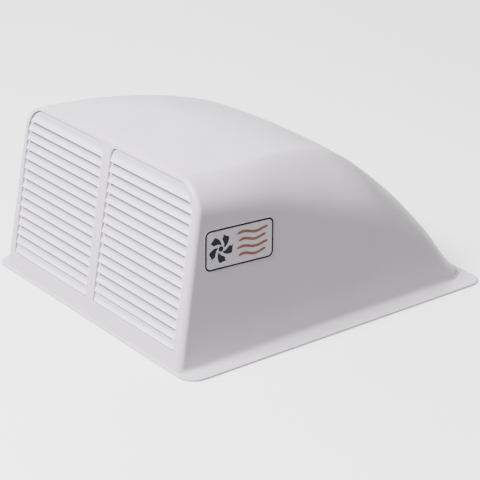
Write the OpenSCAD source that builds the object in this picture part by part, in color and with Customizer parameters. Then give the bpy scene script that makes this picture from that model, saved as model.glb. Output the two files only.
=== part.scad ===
// Roof vent cover for a recreational vehicle: a hollow plastic hood with a louvred rear wall,
// which stands over a 14 inch roof vent on four steel brackets.
// X runs across the cover, +Y towards the low front end, +Z up. The origin is the centre of
// the footprint, on the plane that the flange rests on. Millimetres.

/* [Hood] */
// Overall width across the two side flanges
hood_w = 470; // [464:1:480]
// Overall length from the rear lip to the front flange edge
hood_l = 488; // [484:1:500]
// Width of the side flanges
flange_w = 26; // [22:1:28]
// Thickness of the flange
flange_t = 3; // [2.5:0.5:4]
// Radius of the flange corners
flange_corner_r = 25; // [15:1:30]
// Wall thickness of the hood
wall_t = 3; // [2.5:0.5:3.5]
// How far the flange lip stands behind the louvred wall
rear_lip = 2; // [1:0.5:4]
// Backward lean of the louvred wall, in degrees
rear_lean = 10.6; // [9:0.1:11]
// Inward lean of the side walls, in degrees
side_draft = 2; // [1:0.1:2.5]

/* [Louvre windows] */
// Width of the bar between the two windows
mullion_w = 17; // [14:1:20]
// Distance from the centre line to the outer edge of a window
window_reach = 191; // [188:1:192]
// Height of the lower window edge, measured up the wall
window_low = 25; // [24:0.5:26]
// Height of the upper window edge, measured up the wall
window_high = 234; // [232:0.5:234]
// Gap between a louvre panel and its window at the sides
panel_gap = 0.75; // [0.75:0.25:1.5]
// Number of slats in each louvre panel
slat_count = 15; // [13:1:15]
// Height of the opening between two slats
slat_opening = 3.8; // [2.6:0.1:4]

/* [Brackets] */
// Outside width of the vent collar that the brackets screw to
collar_w = 368; // [364:1:370]
// Thickness of the bracket steel
bracket_t = 2.5; // [2:0.5:3]
// Height of a bracket
bracket_h = 28; // [26:1:30]
// Radius of the holes for the collar screws
screw_hole_r = 2.25; // [2:0.05:2.6]
// Distance between the two screw holes of a bracket
screw_spacing = 35; // [30:1:40]
// Radius of the pivot and catch bolts
bolt_r = 3.1; // [3:0.05:3.2]

/* [Label] */
// Length of the label on the right side wall
label_l = 105; // [80:1:108]
// Height of the label
label_h = 54; // [40:1:56]

/* [Hidden] */

// Height of the roof's edge line against the distance from the foot of the rear wall
roof_line = [
    [43, 234], [100, 229.5], [160, 223.5], [220, 214], [280, 197.5], [322, 178],
    [362, 146.5], [400, 111], [432, 73.5], [455, 38.5], [470, 18], [482, 5],
];
// Reach inwards and downwards of the rounding between roof and side walls, along the cover
edge_line = [[45, 40, 38], [130, 44, 46], [200, 62, 60], [270, 78, 72], [400, 80, 63], [482, 42, 46]];
// Rise of the roof's centre above its edge line, at the rear and from the middle on
crown_rear = 4;
crown_main = 14;
crown_start = 43;
crown_run = 140;
// The crown fades out where the roof comes down below this height
crown_fade_h = 120;
// Rounding of the rear wall's edge towards the sides and towards the roof
rear_edge_side = 8;
rear_edge_roof = 4.5;

// Place of the label on the side wall, from the foot of the rear wall and from the ground
label_run = 98;
label_z = 148;
label_tilt = 3;
label_t = 0.4;
label_r = 9;
label_gap = 0.02;

rear_y = -hood_l / 2 + rear_lip;
base_half = hood_w / 2 - flange_w;
roof_run = roof_line[len(roof_line) - 1][0];
front_wall = 8;
cavity_run = roof_run - front_wall;
loft_steps = 20;
// Stations along the rear wall's rounded edge
edge_stations = [0, 0.6, 2.2, 5];
arc_steps = 9;
roof_steps = 4;
// How far a cutting shape runs past what it cuts
past = 1;
window_cut = 8;
fine = 64;

// Places of the pivot and catch bolts, which all lie along X, behind and in front of the collar
bolt_z = 14;
pivot_y = rear_y + 24;
catch_y = rear_y + 414;
block_reach = 9;
block_gap = 0.5;
collar_half = collar_w / 2;
plate_out = collar_half + bracket_t;
rear_screw_y = pivot_y + 72;
front_screw_y = catch_y - 52;
// How far a bracket reaches past the middle of its screw holes
bracket_tail = 30;
bushing_t = 0.9;
slot_clear = 0.5;
// Blind depth left at the end of a bolt's hole
bolt_hole_end = 0.5;
liner_t = 1;
washer_r = 7;
washer_t = 1.2;
head_r = 6.4;
head_t = 4.5;
face_gap = 0.1;
bolt_end = base_half - wall_t - 6;
washer_x = collar_half - face_gap - washer_t;

// Louvre panels, in the rear wall's own plane: s runs up the wall, d outwards from its face
panel_low = window_low + 1.5;
panel_high = window_high - 5.5;
panel_in = mullion_w / 2 + panel_gap;
panel_out = window_reach - panel_gap;
rail_high = window_high - panel_gap;
window_r = [3, 3, 31, 12];
panel_r = [5, 5, 29, 10.5];
top_r = [window_r[2] - panel_gap, window_r[3] - panel_gap];
slit_low = 26.7;
slit_high = 213.9;
slit_pitch = (slit_high - slit_low) / (slat_count - 1);
drip_rise = 1;
slat_rise = slit_pitch - slat_opening;
// Depths of a slat behind the wall's face: its drip edge, the back of its sloping face, and its lip
drip_d = 0.3;
face_d = 3;
lip_front_d = 6.2;
lip_back_d = 7.6;
lip_h = 4.4;
// Steps of a slat's section above and below the ends of its sloping face
lip_front_rise = 0.9;
lip_back_drop = 0.3;
skin_back_drop = 1.4;
skin_mid_rise = 0.6;
skin_front_d = 1.9;
skin_mid_d = 2.3;
skin_back_d = 4.6;
top_slat_t = 2;
foot_rail_h = 7.5;
foot_rail_r = 3;
frame_inner_r = 5;
stile_w = 5;
stile_front = -2.4;
stile_back = -8.5;
hatch_s = 31;
hatch_d = -5;
hatch_barrel_r = 3.5;
barrel_inset = 4;
rod_r = 1.5;
rod_run = 0.05;
bearing_w = 7;
rod_end_gap = 1;
bearing_deep = 7;
bearing_half_h = 5;
bearing_side_gap = 0.6;
bearing_mid_gap = 0.4;
screen_front = -9;
screen_back = -9.5;
frame_back = -12;
frame_w = 8;
screen_low = 39;
screen_r = [4, 4, 20, 8];
screen_in = panel_in + 1;
screen_out = panel_out - 5;
screen_high = panel_high - 2;
frame_screw_r = 1.5;
frame_screw_head_t = 1.6;
inner_screws_s = [60, 130, 200];
outer_screws_s = [60, 125, 185];
stop_pad_w = 8;
stop_leg_w = 4.5;
stop_h = 16;
stop_depth = 4;
stop_s = panel_high - 36;
stop_overlap = 4;
stop_side_gap = 0.5;

// Smooth curve through the rows of a table: column c against column 0
function row_at(t, x, i = 0) = (i >= len(t) - 2 || x < t[i + 1][0]) ? i : row_at(t, x, i + 1);
function slope_at(t, i, c) =
    let (a = max(i - 1, 0), b = min(i + 1, len(t) - 1)) (t[b][c] - t[a][c]) / (t[b][0] - t[a][0]);
function along(t, x, c = 1) =
    let (
        q = min(max(x, t[0][0]), t[len(t) - 1][0]),
        i = row_at(t, q),
        span = t[i + 1][0] - t[i][0],
        u = (q - t[i][0]) / span
    )
    (2 * u ^ 3 - 3 * u ^ 2 + 1) * t[i][c] + (u ^ 3 - 2 * u ^ 2 + u) * span * slope_at(t, i, c)
    + (3 * u ^ 2 - 2 * u ^ 3) * t[i + 1][c] + (u ^ 3 - u ^ 2) * span * slope_at(t, i + 1, c);

function side_x(z) = base_half - z * tan(side_draft);
function steepness(y) = sqrt(1 + ((along(roof_line, y + 1) - along(roof_line, y - 1)) / 2) ^ 2);
function crown_at(y, top) =
    (crown_rear + (crown_main - crown_rear) * min(max((y - crown_start) / crown_run, 0), 1))
    * min(1, top / crown_fade_h);

// Half of the cross-section at y, from the foot of the wall to the roof's centre line.
// side_in and roof_in set it inwards from the outer surface.
function half_section(y, side_in, roof_in) =
    let (
        top = along(roof_line, y) - roof_in * steepness(y),
        h = along(edge_line, y, 2) - roof_in,
        r = along(edge_line, y, 1) - side_in,
        base = top - h,
        low = base >= 0 ? 0 : asin(-base / h),
        skip = base > 0 ? 0 : 1,
        crown = crown_at(y, top),
        foot_x = side_x(0) - side_in - r * (1 - cos(low)),
        arc = [for (i = [0:arc_steps])
            let (
                a = low + (90 - low) * (i + skip) / (arc_steps + skip),
                z = base + h * sin(a),
                x = side_x(z) - side_in - r * (1 - cos(a))
            )
            [x, z + crown * sin(a) ^ 4 * (1 - (x / base_half) ^ 2)]],
        edge = arc[arc_steps]
    )
    concat([[foot_x, 0]], arc, [for (i = [1:roof_steps])
        let (x = edge[0] * (1 - i / roof_steps)) [x, top + crown * (1 - (x / base_half) ^ 2)]]);

// One closed ring of points round the hood. Rings lean with the rear wall, and stand upright at the front.
function lean_at(run) = tan(rear_lean) * (1 - run / roof_run);
function ring(run, side_in, roof_in, foot_z) =
    let (
        guess = half_section(run + roof_line[0][1] * lean_at(run), side_in, roof_in),
        half = [for (i = [0:len(guess) - 1])
            let (p = half_section(run + guess[i][1] * lean_at(run), side_in, roof_in)[i])
            let (z = i == 0 ? foot_z : p[1])
            [p[0], rear_y + run + z * lean_at(run), z]],
        last = len(half) - 1
    )
    concat(half, [for (i = [last - 1:-1:0]) [-half[i][0], half[i][1], half[i][2]]]);

module loft(rings) {
    n = len(rings[0]);
    m = len(rings);
    sides = [for (j = [0:m - 2]) for (i = [0:n - 1])
        let (k = (i + 1) % n, a = j * n + i, b = j * n + k, c = a + n, d = b + n)
        each [[a, b, d], [a, d, c]]];
    ends = [[for (i = [n - 1:-1:0]) i], [for (i = [0:n - 1]) (m - 1) * n + i]];
    polyhedron([for (r = rings) each r], concat(sides, ends), convexity = 10);
}

// Inset of a rounded edge of radius r at distance t behind it
function rounding(t, r) = t >= r ? 0 : r - sqrt(r ^ 2 - (r - t) ^ 2);

module hood_outside() {
    runs = concat(edge_stations,
        [for (i = [0:loft_steps]) rear_edge_side + (roof_run - rear_edge_side) * i / loft_steps]);
    loft([for (t = runs) ring(t, rounding(t, rear_edge_side), rounding(t, rear_edge_roof), 0)]);
}

module hood_cavity() {
    start = wall_t / cos(rear_lean);
    loft([for (i = [0:loft_steps])
        ring(start + (cavity_run - start) * i / loft_steps, wall_t, wall_t, -past)]);
}

// Places its children in the rear wall's plane: X across, Z up the wall, -Y outwards
module on_rear_wall() {
    translate([0, rear_y, 0]) rotate([-rear_lean, 0, 0]) children();
}

// Extrudes an outline drawn on the rear wall from d0 to d1 outwards
module wall_plate(d0, d1) {
    rotate([90, 0, 0]) translate([0, 0, d0]) linear_extrude(d1 - d0) children();
}

// Extrudes an outline drawn in the Y-Z plane from x0 to x1
module along_x(x0, x1) {
    translate([x0, 0, 0]) rotate([90, 0, 90]) linear_extrude(x1 - x0) children();
}

// Extrudes an outline drawn in the X-Z plane from y0 to y1
module along_y(y0, y1) {
    translate([0, y1, 0]) rotate([90, 0, 0]) linear_extrude(y1 - y0) children();
}

module rod_x(x0, x1, r) {
    translate([x0, 0, 0]) rotate([0, 90, 0]) cylinder(h = x1 - x0, r = r, $fn = fine);
}

// Rectangle with its own radius at each corner: low left, low right, high right, high left
module rounded_box(x0, y0, x1, y1, r) {
    corners = [[x0, y0, 1, 1], [x1, y0, -1, 1], [x1, y1, -1, -1], [x0, y1, 1, -1]];
    difference() {
        translate([x0, y0]) square([x1 - x0, y1 - y0]);
        for (i = [0:3]) let (c = corners[i])
            translate([c[0], c[1]]) scale_flip(c[2], c[3]) difference() {
                translate([-1, -1]) square(r[i] + 1);
                translate([r[i], r[i]]) circle(r[i], $fn = fine);
            }
    }
}

module scale_flip(fx, fy) {
    mirror([fx < 0 ? 1 : 0, 0]) mirror([0, fy < 0 ? 1 : 0]) children();
}

function all_corners(r) = [for (i = [0:3]) r];

// Draws its children on the right (side = 1) or mirrored to the left (side = -1)
module on_side(side) {
    mirror([side < 0 ? 1 : 0, 0, 0]) children();
}

// ---- Hood ----

module hood_shell() {
    color("whitesmoke") difference() {
        union() {
            hood_outside();
            linear_extrude(flange_t)
                rounded_box(-hood_w / 2, -hood_l / 2, hood_w / 2, hood_l / 2, all_corners(flange_corner_r));
        }
        hood_cavity();
        for (side = [-1, 1]) on_side(side) on_rear_wall() wall_plate(-window_cut, window_cut)
            rounded_box(mullion_w / 2, window_low, window_reach, window_high, window_r);
    }
}

module side_label() {
    color("gainsboro") translate([side_x(label_z) + label_gap, rear_y + label_run, label_z])
        rotate([0, -side_draft, 0]) rotate([-label_tilt, 0, 0]) along_x(0, label_t)
            rounded_box(-label_l / 2, -label_h / 2, label_l / 2, label_h / 2, all_corners(label_r));
}

// ---- Blocks bonded inside the side walls, which carry the bolts ----

module bolt_block(y) {
    color("white") difference() {
        along_y(y - block_reach, y + block_reach) polygon([
            [plate_out + block_gap, bolt_z - block_reach],
            [side_x(bolt_z - block_reach) - wall_t - face_gap, bolt_z - block_reach],
            [side_x(bolt_z + block_reach) - wall_t - face_gap, bolt_z + block_reach],
            [plate_out + block_gap, bolt_z + block_reach]]);
        translate([0, y, bolt_z]) rod_x(plate_out, bolt_end + bolt_hole_end, bolt_r);
    }
}

module hex_bolt(y, inner_x) {
    color("silver") translate([0, y, bolt_z]) {
        rod_x(inner_x, bolt_end, bolt_r);
        translate([inner_x - head_t, 0, 0]) rotate([0, 90, 0]) cylinder(h = head_t, r = head_r, $fn = 6);
    }
}

module washer(y, x0) {
    color("silver") translate([0, y, bolt_z]) difference() {
        rod_x(x0, x0 + washer_t, washer_r);
        rod_x(x0 - past, x0 + washer_t + past, bolt_r);
    }
}

module pivot_bolts() {
    for (side = [-1, 1]) on_side(side) hex_bolt(pivot_y, washer_x);
}

module pivot_washers() {
    for (side = [-1, 1]) on_side(side) washer(pivot_y, washer_x);
}

module catch_bolts() {
    for (side = [-1, 1]) on_side(side) hex_bolt(catch_y, washer_x);
}

module catch_washers() {
    for (side = [-1, 1]) on_side(side) washer(catch_y, washer_x);
}

// ---- Brackets ----

module bracket_outline(y_bolt, y_far) {
    low = min(y_bolt, y_far);
    high = max(y_bolt, y_far);
    for (y = [y_bolt, y_far]) translate([y, bolt_z]) circle(bolt_z, $fn = fine);
    translate([low, 0]) square([high - low, bracket_h]);
}

module screw_holes(y) {
    for (k = [-0.5, 0.5]) translate([y + k * screw_spacing, bolt_z]) circle(screw_hole_r, $fn = fine);
}

module bracket_rear() {
    color("lightsteelblue") along_x(collar_half, plate_out) difference() {
        bracket_outline(pivot_y, rear_screw_y + bracket_tail);
        translate([pivot_y, bolt_z]) circle(bolt_r + bushing_t, $fn = fine);
        screw_holes(rear_screw_y);
    }
}

module bracket_front() {
    slot_r = bolt_r + slot_clear + liner_t;
    color("lightsteelblue") along_x(collar_half, plate_out) difference() {
        bracket_outline(catch_y, front_screw_y - bracket_tail);
        translate([catch_y, bolt_z]) circle(slot_r, $fn = fine);
        translate([catch_y - slot_r, bolt_z]) square([2 * slot_r, bracket_h]);
        screw_holes(front_screw_y);
    }
}

module pivot_bushings() {
    color("ivory") for (side = [-1, 1]) on_side(side) translate([0, pivot_y, bolt_z]) difference() {
        rod_x(collar_half, plate_out, bolt_r + bushing_t);
        rod_x(collar_half - past, plate_out + past, bolt_r + rod_run);
    }
}

module slot_liners() {
    inner = bolt_r + slot_clear;
    outer = inner + liner_t;
    color("ivory") for (side = [-1, 1]) on_side(side) along_x(collar_half, plate_out)
        translate([catch_y, bolt_z]) difference() {
            union() {
                circle(outer, $fn = fine);
                translate([-outer, 0]) square([2 * outer, bracket_h - bolt_z]);
            }
            circle(inner, $fn = fine);
            translate([-inner, 0]) square([2 * inner, bracket_h]);
        }
}

// ---- Louvre hatches ----

// A slat's section: drip edge at low, face sloping in to high, then a lip that stands behind the slat above
module slat_section(low, high) {
    polygon([[drip_d, low], [face_d, high], [lip_front_d, high + lip_front_rise],
        [lip_front_d, high + lip_h], [lip_back_d, high + lip_h], [lip_back_d, high - lip_back_drop],
        [skin_back_d, high - skin_back_drop], [skin_mid_d, low + skin_mid_rise], [skin_front_d, low]]);
}

// The top slat's section, which ends square
module top_slat_section(low, high) {
    polygon([[drip_d, low], [face_d, high], [lip_front_d, high], [lip_front_d, high - top_slat_t],
        [skin_back_d, high - top_slat_t], [skin_mid_d, low + skin_mid_rise], [skin_front_d, low]]);
}

module louvre_panel() {
    color("white") on_rear_wall() difference() {
        union() {
            intersection() {
                wall_plate(stile_back, 0)
                    rounded_box(panel_in, panel_low, panel_out, panel_high, panel_r);
                along_x(panel_in, panel_out) for (k = [0:slat_count - 1])
                    let (low = slit_low + k * slit_pitch + drip_rise)
                    if (k < slat_count - 1) slat_section(low, low + slat_rise);
                    else top_slat_section(low, panel_high);
            }
            wall_plate(stile_back, stile_front) difference() {
                rounded_box(panel_in, hatch_s, panel_out, rail_high,
                    [foot_rail_r, foot_rail_r, top_r[0], top_r[1]]);
                rounded_box(panel_in + stile_w, hatch_s + foot_rail_h, panel_out - stile_w,
                    panel_high - stile_w,
                    [frame_inner_r, frame_inner_r, top_r[0] - stile_w, top_r[1] - stile_w]);
            }
            translate([0, -hatch_d, hatch_s])
                rod_x(panel_in + barrel_inset, panel_out - barrel_inset, hatch_barrel_r);
        }
        translate([0, -hatch_d, hatch_s]) rod_x(panel_in - past, panel_out + past, rod_r);
    }
}

module hatch_rod() {
    color("silver") on_rear_wall() translate([0, -hatch_d, hatch_s])
        rod_x(mullion_w / 2 - bearing_w + rod_end_gap, window_reach + bearing_w, rod_r);
}

module bearing(x0, x1) {
    along_x(x0, x1) difference() {
        translate([wall_t + face_gap, hatch_s - bearing_half_h]) square([bearing_deep, 2 * bearing_half_h]);
        translate([-hatch_d, hatch_s]) circle(rod_r + rod_run, $fn = fine);
    }
}

module hatch_bearings() {
    color("white") on_rear_wall() {
        bearing(-mullion_w / 2 + bearing_mid_gap, mullion_w / 2 - bearing_mid_gap);
        for (side = [-1, 1]) on_side(side)
            bearing(window_reach + bearing_side_gap, window_reach + bearing_w + bearing_side_gap);
    }
}

// Rubber pads behind the outer edges, which the closed panels rest on
module hatch_stops() {
    deep = stile_back - stop_depth;
    color("dimgray") on_rear_wall() for (side = [-1, 1]) on_side(side) {
        wall_plate(deep, -wall_t - face_gap)
            translate([window_reach + stop_side_gap, stop_s]) square([stop_leg_w, stop_h]);
        wall_plate(deep, stile_back - face_gap)
            translate([panel_out - stop_overlap, stop_s]) square([stop_pad_w, stop_h]);
    }
}

module screen_outline(inset = 0) {
    rounded_box(screen_in + inset, screen_low + inset, screen_out - inset, screen_high - inset, screen_r);
}

module frame_screw_places() {
    for (s = inner_screws_s) translate([screen_in + frame_w / 2, s]) children();
    for (s = outer_screws_s) translate([screen_out - frame_w / 2, s]) children();
}

module insect_screen() {
    color("gray") on_rear_wall() wall_plate(screen_back, screen_front) difference() {
        screen_outline();
        frame_screw_places() circle(frame_screw_r, $fn = fine);
    }
}

module screen_frame() {
    color("white") on_rear_wall() wall_plate(frame_back, screen_back) difference() {
        screen_outline();
        screen_outline(frame_w);
        frame_screw_places() circle(frame_screw_r, $fn = fine);
    }
}

module screen_screws() {
    color("silver") on_rear_wall() {
        wall_plate(frame_back, screen_front) frame_screw_places() circle(frame_screw_r, $fn = fine);
        wall_plate(frame_back - frame_screw_head_t, frame_back)
            frame_screw_places() circle(2 * frame_screw_r, $fn = fine);
    }
}

hood_shell();
side_label();
on_side(-1) bolt_block(pivot_y);  // pivot_block_left
on_side(1) bolt_block(pivot_y);  // pivot_block_right
on_side(-1) bolt_block(catch_y);  // catch_block_left
on_side(1) bolt_block(catch_y);  // catch_block_right
pivot_bolts();
pivot_washers();
catch_bolts();
catch_washers();
hatch_bearings();
hatch_stops();
on_side(-1) louvre_panel();  // louvre_panel_left
on_side(1) louvre_panel();  // louvre_panel_right
on_side(-1) insect_screen();  // insect_screen_left
on_side(1) insect_screen();  // insect_screen_right
on_side(-1) screen_frame();  // screen_frame_left
on_side(1) screen_frame();  // screen_frame_right
on_side(-1) screen_screws();  // screen_screws_left
on_side(1) screen_screws();  // screen_screws_right
on_side(-1) hatch_rod();  // hatch_rod_left
on_side(1) hatch_rod();  // hatch_rod_right
on_side(-1) bracket_rear();  // bracket_rear_left
on_side(1) bracket_rear();  // bracket_rear_right
on_side(-1) bracket_front();  // bracket_front_left
on_side(1) bracket_front();  // bracket_front_right
pivot_bushings();
slot_liners();
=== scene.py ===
import math

import bmesh
import bpy
from mathutils import Matrix, Vector
from mathutils.geometry import delaunay_2d_cdt


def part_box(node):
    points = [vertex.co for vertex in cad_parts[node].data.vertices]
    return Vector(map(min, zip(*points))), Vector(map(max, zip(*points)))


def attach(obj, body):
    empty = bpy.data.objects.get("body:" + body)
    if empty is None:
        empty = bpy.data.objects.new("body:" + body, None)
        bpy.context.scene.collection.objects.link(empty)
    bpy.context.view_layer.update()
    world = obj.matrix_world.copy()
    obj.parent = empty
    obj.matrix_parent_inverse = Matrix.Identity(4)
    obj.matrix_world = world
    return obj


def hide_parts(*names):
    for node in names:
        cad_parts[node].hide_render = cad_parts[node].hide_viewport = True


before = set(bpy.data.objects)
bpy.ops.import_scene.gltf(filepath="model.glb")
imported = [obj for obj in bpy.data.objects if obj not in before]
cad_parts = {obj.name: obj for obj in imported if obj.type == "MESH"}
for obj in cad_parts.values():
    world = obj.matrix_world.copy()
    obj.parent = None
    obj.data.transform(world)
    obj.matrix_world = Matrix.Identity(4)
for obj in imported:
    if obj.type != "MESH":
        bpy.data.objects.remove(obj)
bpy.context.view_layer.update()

MM = 0.001


# ---- Sizes of the hood and its hatches, in millimetres, as in the CAD model ----

def cad_box_mm(node):
    low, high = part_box(node)
    return [c / MM for c in low], [c / MM for c in high]


SHELL_LOW, SHELL_HIGH = cad_box_mm("hood_shell")
HOOD_W = SHELL_HIGH[0] - SHELL_LOW[0]
HOOD_L = SHELL_HIGH[1] - SHELL_LOW[1]
FLANGE_W = 26.0
FLANGE_T = 3.0
FLANGE_CORNER_R = 25.0
FLANGE_EDGE_R = 1.3
WALL_T = 3.0
FILLET_R = 5.0
# Least distance from the fillet to the flange's front edge
FILLET_MARGIN = 1.6
# How deep the fillet's section reaches into the wall and into the flange
FILLET_IN_WALL = 1.2
FILLET_IN_FLANGE = 1.0
# The front wall is shallow, so its fillet is smaller by this share
FRONT_THINNING = 0.9
REAR_LIP = 2.0
REAR_LEAN = math.radians(10.6)
SIDE_DRAFT = math.radians(2.0)
REAR_Y = -HOOD_L / 2 + REAR_LIP
BASE_HALF = HOOD_W / 2 - FLANGE_W

# Height of the roof's edge line against the distance from the foot of the rear wall
ROOF_LINE = [
    (43, 234), (100, 229.5), (160, 223.5), (220, 214), (280, 197.5), (322, 178),
    (362, 146.5), (400, 111), (432, 73.5), (455, 38.5), (470, 18), (482, 5),
]
# Reach inwards and downwards of the rounding between roof and side walls, along the cover
EDGE_LINE = [(45, 40, 38), (130, 44, 46), (200, 62, 60), (270, 78, 72), (400, 80, 63), (482, 42, 46)]
CROWN_REAR = 4.0
CROWN_MAIN = 14.0
CROWN_START = 43.0
CROWN_RUN = 140.0
CROWN_FADE_H = 120.0
REAR_EDGE_SIDE = 8.0
REAR_EDGE_ROOF = 4.5
ROOF_RUN = ROOF_LINE[-1][0]
CAVITY_RUN = ROOF_RUN - 8.0

MULLION_W = 17.0
WINDOW_REACH = 191.0
WINDOW_LOW = 25.0
WINDOW_HIGH = 234.0
WINDOW_R = (3, 3, 31, 12)
# Stays under 0.58 mm, the least distance from a window to the rounded edge of the rear wall
LIP_R = 0.45

PANEL_GAP = 0.75
PANEL_LOW = WINDOW_LOW + 1.5
PANEL_HIGH = WINDOW_HIGH - 5.5
PANEL_IN = MULLION_W / 2 + PANEL_GAP
PANEL_OUT = WINDOW_REACH - PANEL_GAP
PANEL_R = (5, 5, 29, 10.5)
SLAT_COUNT = 15
SLIT_LOW = 26.7
SLIT_PITCH = (213.9 - SLIT_LOW) / (SLAT_COUNT - 1)
SLAT_FRONT = -0.3
SLAT_BACK = -3.0
SLIT_OPEN = 3.8
DRIP_RISE = 1.0
SLAT_RISE = SLIT_PITCH - SLIT_OPEN
RAIL_HIGH = WINDOW_HIGH - PANEL_GAP
STILE_W = 5.0
STILE_FRONT = -2.4
STILE_BACK = -8.5
HATCH_S = 31.0
HATCH_D = -5.0
HATCH_BARREL_R = 3.5
ROD_R = 1.5
SCREEN_FRONT = -9.0
SCREEN_BACK = -9.5
FRAME_BACK = -12.0
FRAME_W = 8.0
SCREEN_IN = PANEL_IN + 1
SCREEN_OUT = PANEL_OUT - 5
SCREEN_LOW = 39.0
SCREEN_HIGH = PANEL_HIGH - 2
SCREEN_R = (4, 4, 20, 8)

# ---- Fineness of the meshes: steps along each curve ----

ARC_STEPS = 26
ROOF_STEPS = 16
EDGE_STEPS = 8
STATIONS = 64
LIP_STEPS = 4
WINDOW_ARC_STEPS = 12
FLANGE_ARC_STEPS = 14
FLANGE_EDGE_STEPS = 5
FILLET_STEPS = 7

# Points closer than this, in metres, are welded: in a piece, and in pieces that were united
WELD = 1e-6
UNION_WELD = 1e-8
LEAST_EDGE = 1e-7


# ---- Small geometry helpers ----

def clamp(value, low=0.0, high=1.0):
    return max(low, min(high, value))


def along(table, x, column=1):
    """Smooth curve through the rows of a table: column against column 0."""
    q = clamp(x, table[0][0], table[-1][0])
    i = 0
    while i < len(table) - 2 and q >= table[i + 1][0]:
        i += 1

    def slope(k):
        a, b = max(k - 1, 0), min(k + 1, len(table) - 1)
        return (table[b][column] - table[a][column]) / (table[b][0] - table[a][0])

    span = table[i + 1][0] - table[i][0]
    u = (q - table[i][0]) / span
    return (
        (2 * u**3 - 3 * u**2 + 1) * table[i][column] + (u**3 - 2 * u**2 + u) * span * slope(i)
        + (3 * u**2 - 2 * u**3) * table[i + 1][column] + (u**3 - u**2) * span * slope(i + 1)
    )


def turns(steps):
    """Evenly spaced angles round a full circle."""
    return [2 * math.pi * k / steps for k in range(steps)]


def polar(x, y, r, a):
    """The place at distance r and angle a from (x, y)."""
    return x + r * math.cos(a), y + r * math.sin(a)


def rounded_loop(x0, y0, x1, y1, radii, grow=0.0, arc_steps=10):
    """Closed outline of a rectangle with its own radius at each corner, grown by grow.
    Corners run low left, low right, high right, high left."""
    x0, y0, x1, y1 = x0 - grow, y0 - grow, x1 + grow, y1 + grow
    least_r = 0.05
    r = [max(v + grow, least_r) for v in radii]
    centres = [
        (x0 + r[0], y0 + r[0], 180), (x1 - r[1], y0 + r[1], 270),
        (x1 - r[2], y1 - r[2], 0), (x0 + r[3], y1 - r[3], 90),
    ]
    points = []
    for k, (cx, cy, start) in enumerate(centres):
        for i in range(arc_steps + 1):
            a = math.radians(start + 90 * i / arc_steps)
            points.append(polar(cx, cy, r[k], a))
    return points


def inside_loop(p, loop):
    """Whether a place lies inside a closed loop, from how often the loop passes to one side of it."""
    hit = False
    for i, a in enumerate(loop):
        b = loop[(i + 1) % len(loop)]
        if (a[1] > p[1]) != (b[1] > p[1]) and p[0] < (b[0] - a[0]) * (p[1] - a[1]) / (b[1] - a[1]) + a[0]:
            hit = not hit
    return hit


class Solid:
    """Collects points in millimetres and faces, and makes one mesh object of them."""

    def __init__(self):
        self.points = []
        self.faces = []
        self.slots = []
        self.slot = 0

    def add(self, points):
        """Adds points and returns their numbers."""
        first = len(self.points)
        self.points += [tuple(p) for p in points]
        return list(range(first, len(self.points)))

    def face(self, *corners):
        self.faces.append(corners)
        self.slots.append(self.slot)

    def strip(self, a, b, closed=True):
        """Quads between two rows of point numbers."""
        n = len(a)
        for i in range(n if closed else n - 1):
            j = (i + 1) % n
            self.face(a[i], a[j], b[j], b[i])

    def strips(self, rows, closed=True):
        for a, b in zip(rows, rows[1:]):
            self.strip(a, b, closed)

    def flat(self, outer, holes=()):
        """Fills the plane region between loops given as (point numbers, their 2D places)."""
        numbers, places, edges = [], [], []
        for ids, where in (outer, *holes):
            first = len(places)
            numbers += ids
            places += where
            edges += [(first + i, first + (i + 1) % len(where)) for i in range(len(where))]
        out = delaunay_2d_cdt([Vector(p) for p in places], edges, [], 0, 1e-5)
        source = [numbers[o[0]] if o else None for o in out[3]]
        for tri in out[2]:
            c = sum((out[0][i] for i in tri), Vector((0, 0))) / 3
            if not inside_loop(c, outer[1]) or any(inside_loop(c, where) for _, where in holes):
                continue
            corners = [source[i] for i in tri]
            if None not in corners:
                self.face(*corners)

    def build(self, name, materials, smooth_angle=35, weighted=True):
        """Makes the mesh object, with the materials in the order of the slots."""
        mesh = bpy.data.meshes.new(name)
        mesh.from_pydata([(x * MM, y * MM, z * MM) for x, y, z in self.points], [], self.faces)
        for m in materials:
            mesh.materials.append(m)
        for polygon, slot in zip(mesh.polygons, self.slots):
            polygon.material_index = slot
        obj = bpy.data.objects.new(name, mesh)
        bpy.context.scene.collection.objects.link(obj)
        finish_mesh(obj, smooth_angle, weighted)
        return obj


def finish_mesh(obj, smooth_angle=35, weighted=True, weld=WELD):
    """Closes seams, turns faces outwards and sets smooth shading up to an angle."""
    bm = bmesh.new()
    bm.from_mesh(obj.data)
    bmesh.ops.remove_doubles(bm, verts=bm.verts, dist=weld)
    bmesh.ops.dissolve_degenerate(bm, edges=bm.edges, dist=LEAST_EDGE)
    bmesh.ops.recalc_face_normals(bm, faces=bm.faces)
    bm.to_mesh(obj.data)
    bm.free()
    for polygon in obj.data.polygons:
        polygon.use_smooth = True
    obj.data.set_sharp_from_angle(angle=math.radians(smooth_angle))
    if weighted:
        normals = obj.modifiers.new("normals", "WEIGHTED_NORMAL")
        normals.keep_sharp = True
        normals.weight = 80


def on_wall(x, s, d):
    """A place on the rear wall: x across, s up the wall, d outwards from its face."""
    c, k = math.cos(REAR_LEAN), math.sin(REAR_LEAN)
    return x, REAR_Y + s * k - d * c, s * c + d * k


# ---- The hood's curved surface ----

def side_x(z):
    """How far the outside of a side wall is from the middle at height z."""
    return BASE_HALF - z * math.tan(SIDE_DRAFT)


def steepness(y):
    """Length along the roof's edge line for each millimetre along Y."""
    return math.hypot(1, (along(ROOF_LINE, y + 1) - along(ROOF_LINE, y - 1)) / 2)


def crown_at(y, top):
    """Rise of the roof's centre above its edge line."""
    rise = clamp((y - CROWN_START) / CROWN_RUN)
    return (CROWN_REAR + (CROWN_MAIN - CROWN_REAR) * rise) * min(1, top / CROWN_FADE_H)


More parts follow.
